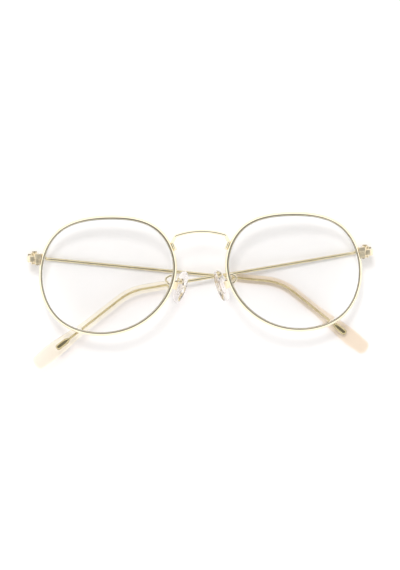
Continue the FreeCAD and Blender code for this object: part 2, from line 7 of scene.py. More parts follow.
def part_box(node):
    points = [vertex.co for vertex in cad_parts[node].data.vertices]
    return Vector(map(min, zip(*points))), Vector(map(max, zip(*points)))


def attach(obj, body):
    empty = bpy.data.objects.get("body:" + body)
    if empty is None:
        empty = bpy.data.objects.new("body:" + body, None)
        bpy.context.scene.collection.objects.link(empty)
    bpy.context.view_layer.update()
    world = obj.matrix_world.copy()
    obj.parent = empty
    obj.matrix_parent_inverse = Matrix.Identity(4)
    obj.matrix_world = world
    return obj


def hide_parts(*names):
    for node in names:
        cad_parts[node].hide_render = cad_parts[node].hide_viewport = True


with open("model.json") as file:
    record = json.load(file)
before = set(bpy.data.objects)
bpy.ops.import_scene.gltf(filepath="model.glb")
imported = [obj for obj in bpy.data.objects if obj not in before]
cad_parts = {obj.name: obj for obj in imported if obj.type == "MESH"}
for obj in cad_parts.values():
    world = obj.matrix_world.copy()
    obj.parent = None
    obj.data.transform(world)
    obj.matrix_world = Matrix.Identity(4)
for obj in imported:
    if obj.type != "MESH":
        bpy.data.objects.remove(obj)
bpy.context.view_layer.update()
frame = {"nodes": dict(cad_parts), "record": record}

nodes = frame["nodes"]
scene = bpy.context.scene
metres = 0.001  # all shapes are drawn in millimetres and made metres at the end
sides = {"left": -1, "right": 1}
bodyOf = {node: body for body, names in frame["record"]["behaviour"]["bodies"].items() for node in names}
slotOf = {part["node"]: part["material_slot"] for part in frame["record"]["subparts"]}
jointOf = {joint["name"]: joint for joint in frame["record"]["behaviour"]["joints"]}


def nodeBox(name):
    low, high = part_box(name)
    return Vector(low) / metres, Vector(high) / metres


# Materials

plateLook = {"bright": (0.97, 0.89, 0.69), "shade": (0.93, 0.83, 0.60), "smooth": 0.07, "worn": 0.15}
satinLook = {"bright": (0.97, 0.86, 0.64), "shade": (0.93, 0.79, 0.54), "smooth": 0.36, "worn": 0.50}
# the wire's colours are the plated metal made darker: painted shade for the thin wires and collars
wireShadeLook = {"bright": (0.72, 0.64, 0.43), "shade": (0.60, 0.51, 0.31), "smooth": 0.10, "worn": 0.20}
# screw metal: darker than the plating, and darkened further as painted shade for the dark gaps at the hinges
screwAndGapShadeLook = {"bright": (0.50, 0.43, 0.29), "shade": (0.36, 0.30, 0.19), "smooth": 0.16, "worn": 0.30}
surfaceGrain = {"tarnish": 260, "wear": 900, "polish": 2600, "depth": 0.04, "height": 0.00002}
lensLook = {
    "colour": (0.998, 1.0, 0.999), "passes": (1.0, 1.0, 1.0),
    "index": 1.50, "roughness": 0.0, "grain": 40, "depth": 0.0,
}
tipLook = {
    "colour": (1.0, 0.965, 0.85), "passes": (0.96, 0.90, 0.86),
    "index": 1.49, "roughness": 0.01, "grain": 60, "depth": 0.01,
}
padLook = {
    "colour": (1.0, 0.985, 0.985), "passes": (0.96, 0.93, 0.94),
    "index": 1.20, "roughness": 0.08, "grain": 300, "depth": 0.03,
}
insertLook = {
    "colour": (1.0, 0.99, 0.985), "passes": (0.98, 0.96, 0.96),
    "index": 1.22, "roughness": 0.04, "grain": 200, "depth": 0.02,
}


def newMaterial(name):
    material = bpy.data.materials.new(name)
    material.use_nodes = True
    nodeTree = material.node_tree
    return material, nodeTree, nodeTree.nodes["Principled BSDF"]


def noiseOn(nodeTree, scale, detail=3.0):
    # noise that sits on the piece, because it reads Object coordinates
    coordinates = nodeTree.nodes.new("ShaderNodeTexCoord")
    noise = nodeTree.nodes.new("ShaderNodeTexNoise")
    noise.inputs["Scale"].default_value = scale
    noise.inputs["Detail"].default_value = detail
    nodeTree.links.new(coordinates.outputs["Object"], noise.inputs["Vector"])
    return noise.outputs["Fac"]


def rampTo(nodeTree, source, socket, low, high, start=0.35, end=0.65):
    # spreads a noise between two values or colours
    ramp = nodeTree.nodes.new("ShaderNodeValToRGB")
    ramp.color_ramp.elements[0].position = start
    ramp.color_ramp.elements[1].position = end
    for element, value in zip(ramp.color_ramp.elements, (low, high)):
        element.color = (*value, 1) if isinstance(value, tuple) else (value, value, value, 1)
    nodeTree.links.new(source, ramp.inputs["Fac"])
    nodeTree.links.new(ramp.outputs["Color"], socket)


def bumpFrom(nodeTree, source, shader, strength):
    bump = nodeTree.nodes.new("ShaderNodeBump")
    bump.inputs["Strength"].default_value = strength
    bump.inputs["Distance"].default_value = surfaceGrain["height"]
    nodeTree.links.new(source, bump.inputs["Height"])
    nodeTree.links.new(bump.outputs["Normal"], shader.inputs["Normal"])


def makeMetal(name, look):
    material, nodeTree, shader = newMaterial(name)
    shader.inputs["Metallic"].default_value = 1.0
    tarnish = noiseOn(nodeTree, surfaceGrain["tarnish"])
    wear = noiseOn(nodeTree, surfaceGrain["wear"])
    polish = noiseOn(nodeTree, surfaceGrain["polish"], 2.0)
    rampTo(nodeTree, tarnish, shader.inputs["Base Color"], look["shade"], look["bright"], 0.25, 0.5)
    rampTo(nodeTree, wear, shader.inputs["Roughness"], look["smooth"], look["worn"])
    bumpFrom(nodeTree, polish, shader, surfaceGrain["depth"])
    return material


def makeClear(name, look):
    # glass to the eye, and open to the light that falls through it
    material, nodeTree, shader = newMaterial(name)
    path = nodeTree.nodes.new("ShaderNodeLightPath")
    either = nodeTree.nodes.new("ShaderNodeMath")
    either.operation = "MAXIMUM"
    nodeTree.links.new(path.outputs["Is Shadow Ray"], either.inputs[0])
    nodeTree.links.new(path.outputs["Is Diffuse Ray"], either.inputs[1])
    passing = nodeTree.nodes.new("ShaderNodeBsdfTransparent")
    passing.inputs["Color"].default_value = (*look["passes"], 1)
    blend = nodeTree.nodes.new("ShaderNodeMixShader")
    nodeTree.links.new(either.outputs[0], blend.inputs["Fac"])
    nodeTree.links.new(shader.outputs[0], blend.inputs[1])
    nodeTree.links.new(passing.outputs[0], blend.inputs[2])
    nodeTree.links.new(blend.outputs[0], nodeTree.nodes["Material Output"].inputs["Surface"])
    shader.inputs["Base Color"].default_value = (*look["colour"], 1)
    shader.inputs["Transmission Weight"].default_value = 1.0
    shader.inputs["IOR"].default_value = look["index"]
    grain = noiseOn(nodeTree, look["grain"])
    rampTo(nodeTree, grain, shader.inputs["Roughness"], look["roughness"], look["roughness"] * 2)
    bumpFrom(nodeTree, grain, shader, look["depth"])
    return material


materials = {
    "plated_metal": makeMetal("palePlatedMetal", plateLook),
    "screw_metal": makeMetal("screwMetalWithPaintedShade", screwAndGapShadeLook),
    "clear_lens": makeClear("clearLens", lensLook),
    "clear_tip": makeClear("clearTip", tipLook),
    "clear_pad": makeClear("clearPad", padLook),
    "clear_insert": makeClear("clearInsert", insertLook),
}
satinPlate = makeMetal("satinPlatedMetal", satinLook)  # pressed and brazed blocks, tumbled before plating
shadeDarkWire = makeMetal("shadeDarkWireMetal", wireShadeLook)  # temple wire and collars: the plated metal darkened, painted shade that makes the thin wires read darker
print("materials made")


# Shaping helpers

def roundedSection(halfWidth, halfHeight, radius, steps=5):
    # the corners of a rounded rectangle, or of a circle when the radius is both halves
    radius = min(radius, halfWidth, halfHeight)
    corners = [(1, 1, 0), (-1, 1, 90), (-1, -1, 180), (1, -1, 270)]
    section = []
    for signX, signY, start in corners:
        centreX = signX * (halfWidth - radius)
        centreY = signY * (halfHeight - radius)
        for step in range(steps + 1):
            angle = radians(start + 90 * step / steps * 0.999)
            section.append((centreX + radius * cos(angle), centreY + radius * sin(angle)))
    return section


def ovalSection(halfWidth, halfHeight):
    return [(x, y * halfHeight / halfWidth) for x, y in roundedSection(halfWidth, halfWidth, halfWidth)]


def roundedRoute(points, bends, step=0.4):
    # straight runs joined by arcs, as closely spaced stops
    stops = [points[0]]
    for index, bend in enumerate(bends, 1):
        corner = points[index]
        back = (points[index - 1] - corner).normalized()
        ahead = (points[index + 1] - corner).normalized()
        half = back.angle(ahead) / 2
        centre = corner + (back + ahead).normalized() * (bend / sin(half))
        first = corner + back * (bend / tan(half)) - centre
        axis = back.cross(ahead).normalized()
        sweepAngle = pi - 2 * half
        count = max(4, ceil(bend * sweepAngle / step))
        turns = [-sweepAngle * turn / count for turn in range(count + 1)]
        stops += [centre + Matrix.Rotation(turn, 3, axis) @ first for turn in turns]
    stops.append(points[-1])
    return stops


def carriedFrames(stops, across):
    # at each stop, the two directions square to the route, carried along without twisting
    frames = []
    for index, stop in enumerate(stops):
        before = stops[max(index - 1, 0)]
        after = stops[min(index + 1, len(stops) - 1)]
        along = (after - before).normalized()
        across = (across - along * across.dot(along)).normalized()
        frames.append((stop, across, along.cross(across)))
    return frames


def ringsAlong(frames, sections):
    return [
        [stop + across * x + other * y for x, y in section]
        for (stop, across, other), section in zip(frames, sections)
    ]


def ringEdges(shape, ring):
    return [shape.edges.get((first, second)) for first, second in zip(ring, ring[1:] + ring[:1])]


def skinOver(shape, rings, closeStart=True, closeEnd=True):
    # a skin over rings of corners, each ring extruded from the one before
    ring = list(bmesh.ops.create_circle(shape, segments=len(rings[0]), radius=1)["verts"])
    firstRing = ring
    for corner, place in zip(ring, rings[0]):
        corner.co = place
    for places in rings[1:]:
        grown = bmesh.ops.extrude_edge_only(shape, edges=ringEdges(shape, ring))["geom"]
        fresh = {item for item in grown if isinstance(item, bmesh.types.BMVert)}
        ring = [next(e.other_vert(v) for e in v.link_edges if e.other_vert(v) in fresh) for v in ring]
        for corner, place in zip(ring, places):
            corner.co = place
    for closing, end in ((closeStart, firstRing), (closeEnd, ring)):
        if closing:
            bmesh.ops.edgeloop_fill(shape, edges=ringEdges(shape, end))
    return shape


def wireAlong(stops, radius, across=Vector((0, 0, 1)), endRound=0.0):
    # a round wire along a route, its ends rounded off when endRound is given
    frames = carriedFrames(stops, across)
    rings = ringsAlong(frames, [roundedSection(radius, radius, radius, 4)] * len(stops))
    shape = bmesh.new()
    if endRound:
        for end, inward in ((0, 1), (-1, -1)):
            stop, first, second = frames[end]
            along = first.cross(second) * -inward
            for turn in (30, 60, 80):
                reach = endRound * sin(radians(turn))
                size = radius * cos(radians(turn))
                section = roundedSection(size, size, size, 4)
                extra = ringsAlong([(stop + along * reach, first, second)], [section])
                rings = extra + rings if end == 0 else rings + extra
    return skinOver(shape, rings)


def finishPiece(shape, name, node=None, side=1, sharpAngle=40, inMetres=False, shift=None, finish=None):
    # the drawn shape becomes a shown piece that stands for its CAD node
    node = node or name
    if not inMetres:
        bmesh.ops.scale(shape, vec=(side * metres, metres, metres), verts=shape.verts)
    if shift is not None:
        bmesh.ops.translate(shape, vec=shift, verts=shape.verts)
    bmesh.ops.remove_doubles(shape, verts=shape.verts, dist=0.0000005)
    bmesh.ops.recalc_face_normals(shape, faces=shape.faces)
    mesh = bpy.data.meshes.new(name)
    shape.to_mesh(mesh)
    shape.free()
    mesh.shade_smooth()
    mesh.set_sharp_from_angle(angle=radians(sharpAngle))
    piece = bpy.data.objects.new(name, mesh)
    scene.collection.objects.link(piece)
    mesh.materials.append(finish or materials[slotOf[node]])
    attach(piece, bodyOf[node])
    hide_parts(node)
    return piece


# Rims and lenses, drawn for the right side about the lens's centre

rimLook = {
    "halfWidth": 27.0, "halfHeight": 23.3, "wrap": 5.5, "curveRadius": 130.0,
    "fullness": {"upperTemporal": 0.743, "upperNasal": 0.768, "lowerNasal": 0.662, "lowerTemporal": 0.748},
    "temporalY": 1.6, "nasalY": 4.1, "topX": -1.6, "bottomX": 2.4,
    "wireWidth": 1.5, "wireDepth": 2.1, "shoulder": 0.3, "face": 0.2, "grooveDepth": 0.45, "grooveWidth": 1.0,
    "grooveTaper": 0.05,
    "splitHeight": 7.1, "split": 0.16, "stops": 260,
}
lensShape = {"thickness": 1.8, "tongue": 0.6, "clearance": 0.05, "edgeBreak": 0.12, "corners": 180}


def outlineThroughKeys():
    # an evenly bending closed curve through the rim's extremes and its four quarters
    width, height, full = rimLook["halfWidth"], rimLook["halfHeight"], rimLook["fullness"]
    keys = np.array([
        (width, rimLook["temporalY"]), (full["upperTemporal"] * width, full["upperTemporal"] * height),
        (rimLook["topX"], height), (-full["upperNasal"] * width, full["upperNasal"] * height),
        (-width, rimLook["nasalY"]), (-full["lowerNasal"] * width, -full["lowerNasal"] * height),
        (rimLook["bottomX"], -height), (full["lowerTemporal"] * width, -full["lowerTemporal"] * height),
    ])
    count = len(keys)
    spans = np.linalg.norm(np.roll(keys, -1, axis=0) - keys, axis=1)
    balance = np.zeros((count, count))
    change = np.zeros((count, 2))
    for index in range(count):
        before, after, following = spans[index - 1], spans[index], (index + 1) % count
        balance[index, index - 1] = before
        balance[index, index] = 2 * (before + after)
        balance[index, following] = after
        change[index] = (keys[following] - keys[index]) / after - (keys[index] - keys[index - 1]) / before
    bending = np.linalg.solve(balance, 6 * change)
    ends = np.cumsum(spans)

    def pointAndHeading(share):
        distance = share % 1.0 * ends[-1]
        index = min(int(np.searchsorted(ends, distance, side="right")), count - 1)
        following, span = (index + 1) % count, spans[index]
        left = (ends[index] - distance) / span
        right = 1 - left
        first, second = bending[index], bending[following]
        point = left * keys[index] + right * keys[following]
        point = point + ((left ** 3 - left) * first + (right ** 3 - right) * second) * span ** 2 / 6
        slope = (keys[following] - keys[index]) / span
        slope = slope + ((3 * right ** 2 - 1) * second - (3 * left ** 2 - 1) * first) * span / 6
        return Vector((*point, 0)), Vector((*slope, 0)).normalized()

    return pointAndHeading


outline = outlineThroughKeys()


def outlinePoint(share, offset=0.0):
    point, heading = outline(share)
    return point + Vector((heading.y, -heading.x, 0)) * offset


def onSphere(point, radius=rimLook["curveRadius"]):
    # lifted to a sphere about the lens's centre of curvature
    height = sqrt(radius ** 2 - point.x ** 2 - point.y ** 2) - rimLook["curveRadius"]
    return Vector((point.x, point.y, height))


def shareAtHeight(height, low, high):
    rising = outlinePoint(high).y > outlinePoint(low).y
    for _ in range(40):
        middle = (low + high) / 2
        if (outlinePoint(middle).y < height) == rising:
            low = middle
        else:
            high = middle
    return (low + high) / 2


wrapTurn = Matrix.Rotation(radians(rimLook["wrap"]), 3, "Y")
temporalShares = (-0.12, 0.12)
nasalShares = (0.62, 0.38)


def rimRings():
    inner, corner = -rimLook["wireWidth"] / 2, rimLook["wireDepth"] / 2
    shoulder, mouth = rimLook["shoulder"], rimLook["grooveWidth"] / 2
    outer = -inner
    faceEnd = inner + shoulder + rimLook["face"]
    outerReach = outer - faceEnd
    outerRadius = (outerReach ** 2 + corner ** 2) / (2 * outerReach)
    sweepHalf = atan2(corner, outerRadius - outerReach)
    profile = []
    for step in range(13):
        angle = sweepHalf * (step / 6 - 1)
        profile.append((outer - outerRadius + outerRadius * cos(angle), outerRadius * sin(angle)))
    for step in range(5):
        angle = radians(90 + 90 * step / 4)
        profile.append((inner + shoulder * (1 + cos(angle)), corner - shoulder * (1 - sin(angle))))
    groove = inner + rimLook["grooveDepth"]
    floorHalf = mouth - rimLook["grooveTaper"]
    profile += [(inner, mouth), (groove, floorHalf), (groove, -floorHalf), (inner, -mouth)]
    for step in range(5):
        angle = radians(180 + 90 * step / 4)
        profile.append((inner + shoulder * (1 + cos(angle)), -corner + shoulder * (1 + sin(angle))))
    splitShare = shareAtHeight(rimLook["splitHeight"], *temporalShares)
    steps = 400
    places = [outlinePoint(step / steps) for step in range(steps + 1)]
    roundLength = sum((after - before).length for before, after in zip(places, places[1:]))
    halfGap = rimLook["split"] / 2 / roundLength
    rings = []
    for stop in range(rimLook["stops"] + 1):
        share = splitShare + halfGap + (1 - 2 * halfGap) * stop / rimLook["stops"]
        middle = onSphere(outlinePoint(share))
        outward = outlinePoint(share, 1) - outlinePoint(share)
        rings.append([wrapTurn @ (middle + outward * x + Vector((0, 0, y))) for x, y in profile])
    return rings


def boxMiddle(rings):
    # the middle of the box round all the corners
    corners = np.array([corner for ring in rings for corner in ring])
    return Vector((corners.min(axis=0) + corners.max(axis=0)) / 2)


rightRimRings = rimRings()
rimLow, rimHigh = nodeBox("rim_right")
rimPlace = (rimLow + rimHigh) / 2 - boxMiddle(rightRimRings)
leftLow, leftHigh = nodeBox("rim_left")
mirrorX = (leftLow.x + leftHigh.x + rimLow.x + rimHigh.x) / 4  # the plane half way between the rims
mirrorShift = Vector((2 * mirrorX * metres, 0, 0))


def mirrored(side):
    return {"side": sides[side], "shift": mirrorShift if side == "left" else None}


def placedOnFront(point):
    return wrapTurn @ point + rimPlace


def rimPoint(height, nasal):
    # on the rim's centre line at a height above the lens's centre
    share = shareAtHeight(height, *(nasalShares if nasal else temporalShares))
    return placedOnFront(onSphere(outlinePoint(share)))


def lensRings():
    half, tongue = lensShape["thickness"] / 2, lensShape["tongue"] / 2
    bodyInset = rimLook["wireWidth"] / 2 + lensShape["clearance"]
    tongueInset = rimLook["wireWidth"] / 2 - rimLook["grooveDepth"] + lensShape["clearance"]
    edgeBreak = lensShape["edgeBreak"]
    spread = [0.03, 0.12, 0.24, 0.36, 0.48, 0.6, 0.72, 0.83, 0.92, 0.97]
    stages = [(share, bodyInset + edgeBreak, half) for share in spread]
    stages += [(1, bodyInset + edgeBreak, half), (1, bodyInset, half - edgeBreak), (1, bodyInset, tongue)]
    stages += [(1, tongueInset, tongue)]
    stages += [(share, inset, -level) for share, inset, level in reversed(stages)]
    corners = lensShape["corners"]
    rings = []
    for share, inset, level in stages:
        flat = [outlinePoint(index / corners, -inset) * share for index in range(corners)]
        rings.append([placedOnFront(onSphere(point, rimLook["curveRadius"] + level)) for point in flat])
    return rings


for side in sides:
    shape = skinOver(bmesh.new(), [[corner + rimPlace for corner in ring] for ring in rightRimRings])
    finishPiece(shape, f"eyewire_{side}", f"rim_{side}", sharpAngle=50, **mirrored(side))
    shape = skinOver(bmesh.new(), lensRings())
    finishPiece(shape, f"glass_{side}", f"lens_{side}", **mirrored(side))
print("rims and lenses made")


# Bridge

bridgeLook = {
    "radius": 0.62, "shoulderInset": 0.6, "shoulderY": 15.5, "rise": 1.45, "forward": 0.9,
    "legHeights": (12.2, 9.6), "bend": 0.85, "archShare": 0.9, "legForward": 0.2, "sink": 0.08,
    "noseWidth": 21.0, "endRound": 0.3,
}


def makeBridge():
    look = bridgeLook
    offset = rimLook["wireWidth"] / 2 + look["radius"] - look["sink"]
    legs = []
    for height in look["legHeights"]:
        share = shareAtHeight(height, *nasalShares)
        clear = placedOnFront(onSphere(outlinePoint(share, offset)))
        legs.append(Vector((clear.x, clear.y, rimPoint(height, True).z + look["legForward"])))
    shoulderX = look["noseWidth"] / 2 - look["shoulderInset"]
    shoulder = Vector((mirrorX + shoulderX, rimPlace.y + look["shoulderY"], legs[0].z + look["forward"]))
    slope = 2 * atan2(look["rise"], shoulderX)
    peak = Vector((mirrorX, shoulder.y + shoulderX * tan(slope), shoulder.z))
    archRadius = look["archShare"] * shoulderX / sin(slope)
    rightHalf = [shoulder, *legs]
    leftHalf = [Vector((2 * mirrorX - p.x, p.y, p.z)) for p in reversed(rightHalf)]
    bends = [look["bend"], look["bend"], archRadius, look["bend"], look["bend"]]
    stops = roundedRoute(leftHalf + [peak] + rightHalf, bends, 0.25)
    finishPiece(wireAlong(stops, look["radius"], endRound=look["endRound"]), "arched_bridge", "bridge")


makeBridge()
print("bridge made")


# Endpieces: a flat bar that turns back from the rim lock to the hinge

endpieceLook = {"thickness": 1.3, "edgeRound": 0.32, "innerBend": 0.25}

for side in sides:
    low, high = nodeBox("endpiece_right")
    halfThick = endpieceLook["thickness"] / 2
    middleY, topZ, outX = (low.y + high.y) / 2, high.z - halfThick, high.x - halfThick
    route = [Vector((low.x, middleY, topZ)), Vector((outX, middleY, topZ)), Vector((outX, middleY, low.z))]
    stops = roundedRoute(route, [halfThick + endpieceLook["innerBend"]], 0.15)
    section = roundedSection((high.y - low.y) / 2, halfThick, endpieceLook["edgeRound"])
    frames = carriedFrames(stops, Vector((0, 1, 0)))
    shape = skinOver(bmesh.new(), ringsAlong(frames, [section] * len(stops)))
    finishPiece(shape, f"end_bar_{side}", f"endpiece_{side}", finish=satinPlate, **mirrored(side))
print("endpieces made")


# Temples, drawn about the hinge for the left side, whose temple runs towards +X when folded

templeLook = {
    "length": 145.0, "wireRadius": 0.65, "openAngle": 92.0, "buttHeight": 2.6, "buttThickness": 1.3,
    "buttLength": 2.4, "taper": 1.4, "buttRound": 0.25, "stop": 2.78, "knuckleRadius": 1.1,
    "slope": {"left": 6.8, "right": 8.3}, "bendAt": {"left": 100.6, "right": 96.5},
    "bend": {"left": 33.0, "right": 28.5}, "bendRadius": 22.0,
}
ferruleLook = {
    "pastCrossing": 7.03, "length": 4.3, "radius": 1.05, "edgeRound": 0.2, "waist": 0.06, "bead": 0.55,
}
coreLook = {"radius": 0.5, "endGap": 11.0, "flatLength": 5.0, "flatWidth": 2.4, "flatThickness": 0.7}
tipShape = {
    "thickness": 2.5, "edgeRound": 0.8, "startHeight": 2.8, "neckHeight": 3.6, "paddleHeight": 6.4,
    "neckFullBy": 7.0, "swellStart": 28.6, "swellEnd": 7.7,
    "endRound": 1.9, "endShare": 0.88, "startRound": 0.25,
}
hingeReach = mirrorX - jointOf["temple_left_hinge"]["pos_m"][0] / metres
ferruleStart = hingeReach + ferruleLook["pastCrossing"]
tipStart = ferruleStart + ferruleLook["length"]
lineDepth = templeLook["knuckleRadius"] + templeLook["buttThickness"] / 2


def fallingHeading(angle):
    return Vector((cos(radians(angle)), -sin(radians(angle)), 0))


def templeFrame(side, distance):
    # the stop at a distance from the hinge along the bent line, and the upward and outward directions there
    slope, bend, radius = templeLook["slope"][side], templeLook["bend"][side], templeLook["bendRadius"]
    bendStart = templeLook["bendAt"][side] - radius * tan(radians(bend / 2))
    bendLength = radius * radians(bend)
    past = min(max(distance - bendStart, 0), bendLength)
    angle = slope + past / radius * 180 / pi
    upward = Vector((sin(radians(angle)), cos(radians(angle)), 0))
    firstUpward = Vector((sin(radians(slope)), cos(radians(slope)), 0))
    stop = fallingHeading(slope) * min(distance, bendStart) + (upward - firstUpward) * radius
    stop += fallingHeading(angle) * max(distance - bendStart - bendLength, 0)
    return stop - Vector((0, 0, lineDepth)), upward, Vector((0, 0, 1))


def openedLift(side):
    # how far the folded temple's line rises towards its tip
    return jointOf[f"temple_{side}_hinge"]["range_deg"][1] - templeLook["openAngle"]


def finishTemplePiece(shape, name, node, side, **options):
    hinge = Vector(jointOf[f"temple_{side}_hinge"]["pos_m"]) / metres
    lift = Matrix.Rotation(radians(-openedLift(side)), 3, "Y")
    bmesh.ops.rotate(shape, cent=(0, 0, 0), matrix=lift, verts=shape.verts)
    facing = -1 if side == "right" else 1
    bmesh.ops.scale(shape, vec=(facing, 1, 1), verts=shape.verts)
    bmesh.ops.translate(shape, vec=hinge, verts=shape.verts)
    return finishPiece(shape, name, node, **options)


def evenStops(start, end, step):
    count = max(2, ceil((end - start) / step))
    return [start + (end - start) * index / count for index in range(count + 1)]


def makeTempleWire(side):
    look, core = templeLook, coreLook
    taperEnd = look["buttLength"] + look["taper"]
    coreEnd = look["length"] - core["endGap"]
    flatStart = coreEnd - core["flatLength"]
    halfButt, halfThick, radius = look["buttHeight"] / 2, look["buttThickness"] / 2, look["wireRadius"]
    stages = [(-look["stop"] - 1, halfButt, halfThick, look["buttRound"])]
    stages += [(distance, halfButt, halfThick, look["buttRound"]) for distance in (0, look["buttLength"])]
    for share in (0.15, 0.4, 0.7, 1.0):
        ease = share * share * (3 - 2 * share)
        height = halfButt + (radius - halfButt) * ease
        corner = look["buttRound"] + (radius - look["buttRound"]) * ease
        stages.append((look["buttLength"] + share * look["taper"], height, halfThick, corner))
    stages += [(d, radius, radius, radius) for d in evenStops(taperEnd + 1, tipStart - 0.3, 3.0)]
    thin = core["radius"]
    stages += [(d, thin, thin, thin) for d in evenStops(tipStart, flatStart - 1.5, 1.2)]
    halfFlat, flatThick = core["flatWidth"] / 2, core["flatThickness"] / 2
    stages += [(d, halfFlat, flatThick, flatThick) for d in evenStops(flatStart, coreEnd - 0.8, 1.0)]
    stages += [(coreEnd - 0.35, halfFlat * 0.86, flatThick, flatThick)]
    stages += [(coreEnd, halfFlat * 0.5, flatThick * 0.6, 0.2)]
    frames = [templeFrame(side, stage[0]) for stage in stages]
    sections = [
        roundedSection(*stage[1:]) if stage[0] < flatStart else ovalSection(stage[1], stage[2])
        for stage in stages
    ]
    shape = skinOver(bmesh.new(), ringsAlong(frames, sections))
    everything = list(shape.verts) + list(shape.edges) + list(shape.faces)
    cut = bmesh.ops.bisect_plane(
        shape, geom=everything, plane_co=(-look["stop"], 0, 0), plane_no=(-1, 0, 0), clear_outer=True
    )
    rimCut = [item for item in cut["geom_cut"] if isinstance(item, bmesh.types.BMEdge)]
    bmesh.ops.edgeloop_fill(shape, edges=rimCut)
    finishTemplePiece(shape, f"bent_wire_{side}", f"temple_wire_{side}", side, finish=shadeDarkWire)


def makeFerrule(side):
    look = ferruleLook
    start, end, radius, edge = ferruleStart, tipStart, look["radius"], look["edgeRound"]
    profile = [(0, radius - edge), (0.06, radius - 0.3 * edge), (edge, radius), (look["bead"], radius)]
    profile += [(look["bead"] + 0.12, radius - look["waist"])]
    stages = [(start + reach, size) for reach, size in profile]
    stages += [(end - reach, size) for reach, size in reversed(profile)]
    rings = ringsAlong(
        [templeFrame(side, distance) for distance, _ in stages],
        [roundedSection(size, size, size) for _, size in stages],
    )
    shape = skinOver(bmesh.new(), rings)
    finishTemplePiece(shape, f"collar_{side}", f"ferrule_{side}", side, finish=shadeDarkWire)


def easedThrough(stations, distance):
    # a smooth change between stated values along the tip
    for (start, first), (end, second) in zip(stations, stations[1:]):
        if distance <= end:
            share = max(0, (distance - start) / (end - start))
            return first + (second - first) * share * share * (3 - 2 * share)
    return stations[-1][1]


def makeTip(side):
    look = tipShape
    length = templeLook["length"]
    neck, paddle = look["neckHeight"], look["paddleHeight"]
    endStart = length - look["endRound"]
    heights = [
        (tipStart, look["startHeight"]), (tipStart + look["neckFullBy"], neck),
        (length - look["swellStart"], neck), (length - look["swellEnd"], paddle),
        (endStart, look["endShare"] * paddle),
    ]
    half, edge = look["thickness"] / 2, look["edgeRound"]
    small = look["startRound"]
    stages = [(tipStart, look["startHeight"] / 2 - small, half - small)]
    stages += [(tipStart + 0.3 * small, look["startHeight"] / 2 - 0.4 * small, half - 0.4 * small)]
    for distance in evenStops(tipStart + small, endStart, 1.0):
        stages.append((distance, easedThrough(heights, distance) / 2, half))
    for turn in (15, 30, 42, 54, 65, 75, 83):
        angle = radians(turn)
        distance = endStart + (length - endStart) * sin(angle)
        fade = max(0, 1 - (length - distance) / edge)
        thick = half - edge * (1 - sqrt(1 - fade * fade))
        stages.append((distance, look["endShare"] * paddle / 2 * cos(angle) ** 0.9, thick))
    frames = [templeFrame(side, stage[0]) for stage in stages]
    sections = [roundedSection(height, thick, edge) for _, height, thick in stages]
    shape = skinOver(bmesh.new(), ringsAlong(frames, sections))
    # both tips lie level with the table when folded
    turn = Matrix.Rotation(radians(openedLift("left")), 3, "Y")
    bmesh.ops.rotate(shape, cent=templeFrame(side, tipStart)[0], matrix=turn, verts=shape.verts)
    finishTemplePiece(shape, f"clear_end_{side}", f"temple_tip_{side}", side, sharpAngle=60)


for side in sides:
    makeTempleWire(side)
    makeFerrule(side)
    makeTip(side)
print("temples made")


# Nose pads and their arms, drawn for the right side

padShape = {"width": 6.8, "length": 13.0, "thickness": 2.4, "edgeRound": 1.0, "crown": 0.12, "corners": 48}
armLook = {
    "radius": 0.45, "startHeight": 0.6, "sink": 0.3, "drop": 1.9, "reach": 4.1, "bends": (0.8, 1.1, 0.7),
    "boxBack": 4.2,
}
padPivot = Vector(jointOf["pad_right_pivot"]["pos_m"]) / metres
padLow, padHigh = nodeBox("nose_pad_right")
padMiddle = (padLow + padHigh) / 2
padAway = (padPivot - padMiddle).normalized()
padAlong = Vector(jointOf["pad_right_pivot"]["axis"])
padAcross = padAlong.cross(padAway)


def makePad(side):
    look = padShape
    half, edge, crown = look["thickness"] / 2, look["edgeRound"], look["crown"]
    stages = [(share, 0, half - crown * share * share) for share in (0.15, 0.4, 0.65)]
    for turn in (0, 20, 40, 60, 78, 90):
        angle = radians(turn)
        stages.append((1, edge * (1 - sin(angle)), half - crown - (edge - crown) * (1 - cos(angle))))
    stages += [(share, inset, -level) for share, inset, level in reversed(stages)]
    rings = []
    for share, inset, level in stages:
        ring = []
        for corner in range(look["corners"]):
            angle = 2 * pi * corner / look["corners"]
            x = (look["width"] / 2 - inset) * share * cos(angle)
            y = (look["length"] / 2 - inset) * share * sin(angle)
            ring.append(padMiddle + padAcross * x + padAlong * y + padAway * level)
        rings.append(ring)
    shape = skinOver(bmesh.new(), rings)
    finishPiece(shape, f"soft_pad_{side}", f"nose_pad_{side}", sharpAngle=70, **mirrored(side))


def makePadArm(side):
    look = armLook
    start = rimPoint(look["startHeight"], True) - Vector((0, 0, rimLook["wireDepth"] / 2 - look["sink"]))
    back = padMiddle + padAway * look["boxBack"]
    lastTurn = back + padAway * look["drop"]
    below = start - Vector((0, 0, look["drop"]))
    furthestX = mirrorX + bridgeLook["noseWidth"] / 2 + look["reach"]
    furthest = Vector((furthestX, (start.y + lastTurn.y) / 2, (below.z + lastTurn.z) / 2))
    stops = roundedRoute([start, below, furthest, lastTurn, back], look["bends"], 0.15)
    shape = wireAlong(stops, look["radius"], across=Vector((0, 1, 0)))
    finishPiece(shape, f"bent_arm_{side}", f"pad_arm_{side}", **mirrored(side))


for side in sides:
    makePad(side)
    makePadArm(side)
print("nose pads made")


# Small hardware: the CAD's own shapes, merged, with their edges rounded off

hardwareLook = {"mergeWithin": 0.000002, "flatWithin": 1.0, "sharpOver": 35, "edge": 0.00006}


